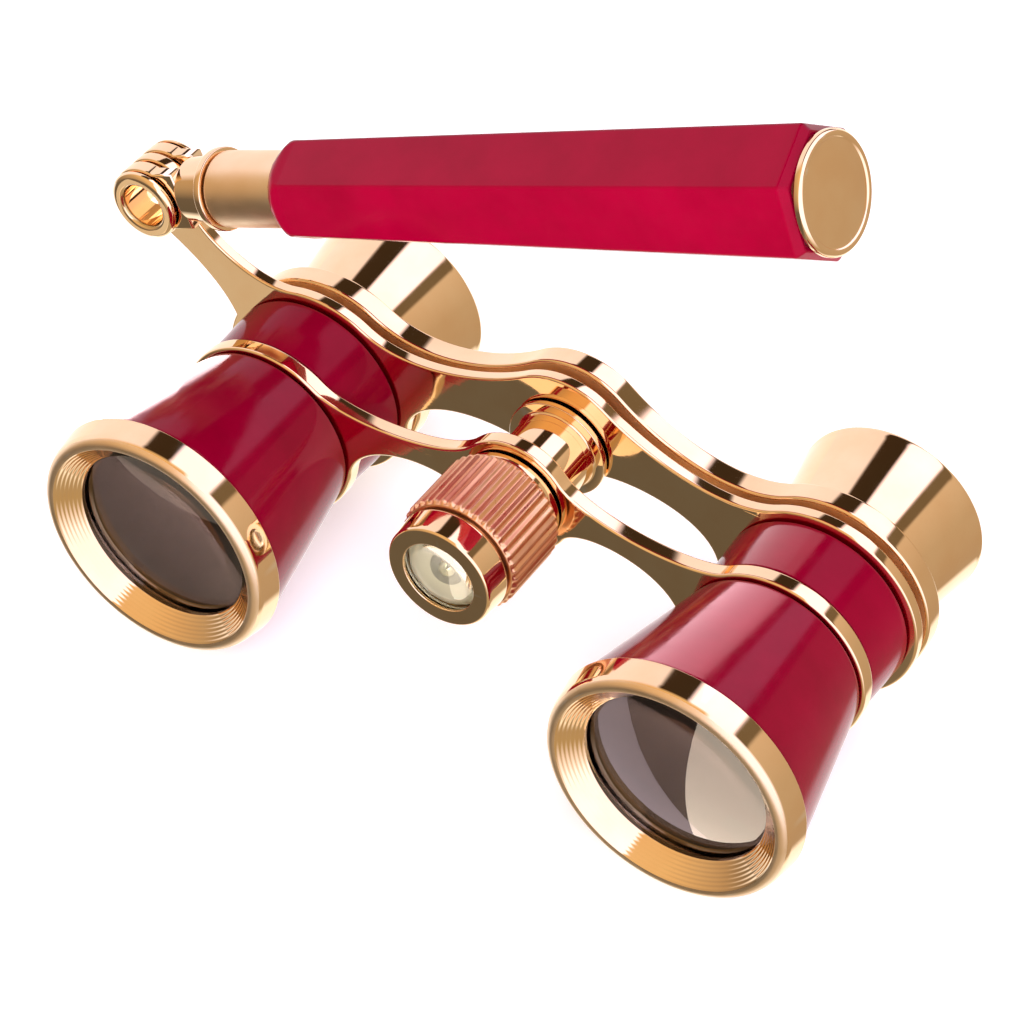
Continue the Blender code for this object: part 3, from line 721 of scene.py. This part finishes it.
def make_grip():
    """A six-sided tapered grip, round at its narrow end, chamfered at its wide one, bored through."""
    sections = [  # (distance along the handle, radius of the flats, radius of the corners)
        (20.9, 4.9, 4.9), (21.0, 5.05, 5.05), (21.2, 5.17, 5.1), (21.5, 5.3, 4.4), (21.8, 5.38, 3.4),
        (22.1, 5.4, 2.4), (22.5, 5.36, 1.4), (22.9, 5.3, 0.75), (23.3, 5.29, 0.5), (90.6, 6.7, 0.55),
        (90.8, 6.69, 0.55), (91.0, 6.6, 0.6), (91.6, 6.05, 0.7), (91.7, 5.92, 0.7),
    ]
    rows = [rounded_hexagon(*section) for section in sections]
    for end in (sections[-1], sections[0]):
        rows.append(rounded_hexagon(end[0], GRIP_BORE_R, GRIP_BORE_R))
    bm = bmesh.new()
    loops = [[bm.verts.new(point) for point in row] for row in rows]
    around = len(rows[0])
    for near, far in zip(loops, loops[1:] + loops[:1]):
        for k in range(around):
            j = (k + 1) % around
            bm.faces.new((near[k], near[j], far[j], far[k]))
    bmesh.ops.remove_doubles(bm, verts=bm.verts, dist=WELD)
    bmesh.ops.recalc_face_normals(bm, faces=bm.faces)
    mesh = bpy.data.meshes.new("handle_grip")
    bm.to_mesh(mesh)
    bm.free()
    finish_piece("handle_grip", mesh, ON_HANDLE, "grip", "crimson_enamel", ENAMEL)


for side, at in (("left", AT_LEFT), ("right", AT_RIGHT)):
    make_barrel(side, at)
    make_eyepiece(side, at)
make_bridges()
make_focus_drive()
make_light()
make_hinge()
make_handle()
make_grip()

# Inner pieces whose CAD shape is right keep it and take a finish
CARRIED = {
    "objective_retainer_left": BLACK, "objective_retainer_right": BLACK,
    "ocular_retainer_left": BLACK, "ocular_retainer_right": BLACK,
    "battery_cell_front": STEEL, "battery_cell_rear": STEEL, "contact_spring": STEEL,
    "focus_screw": STEEL, "focus_nut": BRASS, "tube_stop": BRASS,
    "led_holder": WHITE_PLASTIC, "led": CLEAR_PLASTIC,
}
for node, material in CARRIED.items():
    for material_slot in frame["nodes"][node].material_slots:
        material_slot.material = material


# ---------------------------------------------------------------- studio

# What surrounds the object, as (degrees, colour) round Y: 0 is its right, 90 above, 180 its left
TENT_BEHIND = [
    (-180, (1.15, 1.08, 1.12)), (-130, (1.3, 1.25, 1.25)), (-66, (1.3, 1.25, 1.2)),  # white, low
    (-58, (0.5, 0.38, 0.26)), (0, (0.56, 0.43, 0.30)), (39, (0.72, 0.56, 0.42)),  # tan, at the right
    (42, (0.19, 0.14, 0.085)), (53, (0.19, 0.14, 0.085)),  # dark card
    (56, (1.8, 1.6, 2.1)), (93, (1.8, 1.6, 2.1)),  # bright, overhead
    (97, (0.045, 0.028, 0.015)), (119, (0.05, 0.03, 0.016)),  # black card
    (122, (1.1, 0.98, 1.1)), (180, (1.15, 1.05, 1.15)),  # white, at the left
]
TENT_BEFORE = [
    (-180, (0.5, 0.36, 0.22)), (-150, (0.16, 0.13, 0.1)), (-112, (0.14, 0.12, 0.09)),  # dark, low
    (-100, (0.45, 0.36, 0.26)), (-50, (0.5, 0.37, 0.2)),  # tan, low
    (-30, (1.2, 1.1, 1.2)), (-20, (1.5, 1.5, 1.9)), (76, (1.6, 1.6, 2.1)),  # bright, at the right
    (81, (0.9, 0.62, 0.34)), (130, (0.85, 0.58, 0.3)), (180, (0.5, 0.36, 0.22)),  # amber, at the left
]
TENT_BLEND = (-0.3, -0.05)  # the direction's Y from where the strips before give way to those behind


def light_tent():
    """A world of strips that run along Y, one set before the object and one behind it."""
    world = bpy.data.worlds.new("light_tent")
    scene.world = world
    world.use_nodes = True
    tree = world.node_tree
    add = node_adder(tree)
    direction = add("ShaderNodeSeparateXYZ", {0: add("ShaderNodeTexCoord").outputs["Generated"]})
    angle = add("ShaderNodeMath", {0: direction.outputs["Z"], 1: direction.outputs["X"]}, operation="ARCTAN2")
    turn = span(add, angle.outputs[0], 0.0, 1.0, -pi, pi)

    def strips(stops):
        return ramp(add, turn, [((degrees + 180) / 360, colour) for degrees, colour in stops])

    share = span(add, direction.outputs["Y"], 0.0, 1.0, *TENT_BLEND)
    both = add("ShaderNodeMixRGB", {
        "Fac": share, "Color1": strips(TENT_BEFORE), "Color2": strips(TENT_BEHIND),
    })
    tree.links.new(both.outputs["Color"], tree.nodes["Background"].inputs["Color"])
    tree.nodes["Background"].inputs["Strength"].default_value = 1.0


def softbox(name, target, towards, across, size, radiance, colour, receivers=(), glossy=True, diffuse=True):
    """A rectangular soft light, set off from a target along a vector; across is its width's direction.

    receivers, if given, are the only pieces that it lights.
    """
    light = bpy.data.lights.new(name, "AREA")
    light.shape = "RECTANGLE"
    light.size, light.size_y = size
    light.energy = radiance * pi * size[0] * size[1]
    light.color = colour
    made = bpy.data.objects.new(name, light)
    behind = Vector(towards).normalized()
    width = Vector(across)
    width = (width - behind * width.dot(behind)).normalized()
    height = behind.cross(width)
    turn = Matrix((width, height, behind)).transposed().to_4x4()
    made.matrix_world = Matrix.Translation(Vector(target) + Vector(towards)) @ turn
    made.visible_glossy = glossy
    made.visible_diffuse = diffuse
    made.visible_camera = False
    scene.collection.objects.link(made)
    if receivers:
        group = bpy.data.collections.new(f"{name}_receivers")
        for piece in receivers:
            group.objects.link(PIECES[piece])
        made.light_linking.receiver_collection = group


def card(name, target, towards, across, size, radiance, colour, *receivers):
    """A soft light that only its receivers reflect."""
    softbox(name, target, towards, across, size, radiance, colour, receivers, diffuse=False)


def make_lights():
    """A soft front light on everything, one more on the grip, and cards that some pieces reflect."""
    white = (1.0, 1.0, 1.0)
    pink = (1.0, 0.8, 0.8)
    rose = (1.0, 0.6, 0.66)
    mauve = (1.0, 0.84, 0.92)
    cream = (1.0, 0.86, 0.68)
    along_x = (1, 0, 0)
    softbox("front_fill", (0, 0, 0.03), (0.35, -0.75, 0.52), along_x, (0.5, 0.5), 5.1, white, glossy=False)
    softbox("grip_fill", (0, 0.01, 0.05), (0.05, -0.65, 0.03), along_x, (0.4, 0.3), 9.5, white,
            ["handle_grip"], glossy=False)

    card("right_cone_card", RIGHT, (-0.304, 0.60, 0.195), (0.473, 0.088, 0.459), (0.49, 0.5), 7.5, rose,
         "objective_cone_right")
    card("left_cone_card", LEFT, (-0.39, 0.51, -0.23), (-0.2, 0.14, 0.68), (0.5, 0.5), 8.0, pink,
         "objective_cone_left")
    left_shoulder = AT_LEFT @ Vector((-7.6 * MM, 5.0 * MM, 12.2 * MM))
    card("left_shoulder_card", left_shoulder, (-0.0164, 0.018, -0.0052), (0, 0, 1), (0.014, 0.014), 8.0, pink,
         "objective_cone_left")
    card("right_tube_card", RIGHT, (-0.42, 0.42, 0.35), (0.606, -0.03, 0.74), (0.7, 0.4), 5.0, pink,
         "middle_tube_right")

    card("lens_card", RIGHT, (0.035, -0.35, -0.355), along_x, (0.335, 0.6), 5.0, cream,
         "objective_lens_right", "light_lens")
    card("right_lens_shade", RIGHT, (-0.31, -0.185, -0.345), (0.67, -0.74, 0), (0.31, 0.6), 1.3, mauve,
         "objective_lens_right")
    card("left_lens_card", LEFT, (-0.2, -0.42, -0.13), along_x, (0.5, 0.22), 0.9, cream,
         "objective_lens_left")

    arm = AT_CENTRE @ Vector((-50.0 * MM, 33.0 * MM, 11.0 * MM))
    low_front = (-0.03, -0.049, -0.056)
    card("arm_card", arm, low_front, along_x, (0.034, 0.04), 0.5, cream, "rear_bridge")
    card("rivet_front_card", HINGE, low_front, along_x, (0.05, 0.05), 0.6, cream, "hinge_rivet")
    card("rivet_card", HINGE, (0.225, 0.325, 0.30), along_x, (0.5, 0.5), 1.4, white, "hinge_rivet")


def make_floor():
    """A plain pale sweep under the object, which reflections don't show."""
    half = 3.0
    corners = [(-half, -half, 0), (half, -half, 0), (half, half, 0), (-half, half, 0)]
    mesh = bpy.data.meshes.new("floor")
    mesh.from_pydata(corners, [], [(0, 1, 2, 3)])
    made, shader, add, link = new_material("pale_floor")
    cloud = noise(add, scale=6.0)
    link(ramp(add, cloud, [(0.3, (0.93, 0.93, 0.925)), (0.7, (0.95, 0.95, 0.945))]), "Base Color")
    shader.inputs["Roughness"].default_value = 0.8
    shader.inputs["Emission Color"].default_value = (1.0, 1.0, 1.0, 1.0)
    shader.inputs["Emission Strength"].default_value = 0.4
    mesh.materials.append(made)
    floor = bpy.data.objects.new("floor", mesh)
    floor.visible_glossy = False
    scene.collection.objects.link(floor)


def make_camera():
    """The three-quarter view from above the objectives, at the right, rolled a little."""
    position = Vector((0.15640, -0.24847, 0.30090))
    azimuth, elevation, roll = radians(31.535), radians(44.242), radians(1.118)
    back = Vector((sin(azimuth) * cos(elevation), -cos(azimuth) * cos(elevation), sin(elevation)))
    level = Vector((cos(azimuth), sin(azimuth), 0))
    above = back.cross(level)
    right = level * cos(roll) + above * sin(roll)
    up = above * cos(roll) - level * sin(roll)
    camera = bpy.data.cameras.new("camera")
    camera.lens = 128.65
    camera.sensor_width = 36.0
    camera.clip_start = MM
    made = bpy.data.objects.new("camera", camera)
    turn = Matrix((right, up, back)).transposed().to_4x4()
    made.matrix_world = Matrix.Translation(position) @ turn
    scene.collection.objects.link(made)
    scene.camera = made


light_tent()
make_floor()
make_camera()
make_lights()
scene.view_settings.view_transform = "Standard"
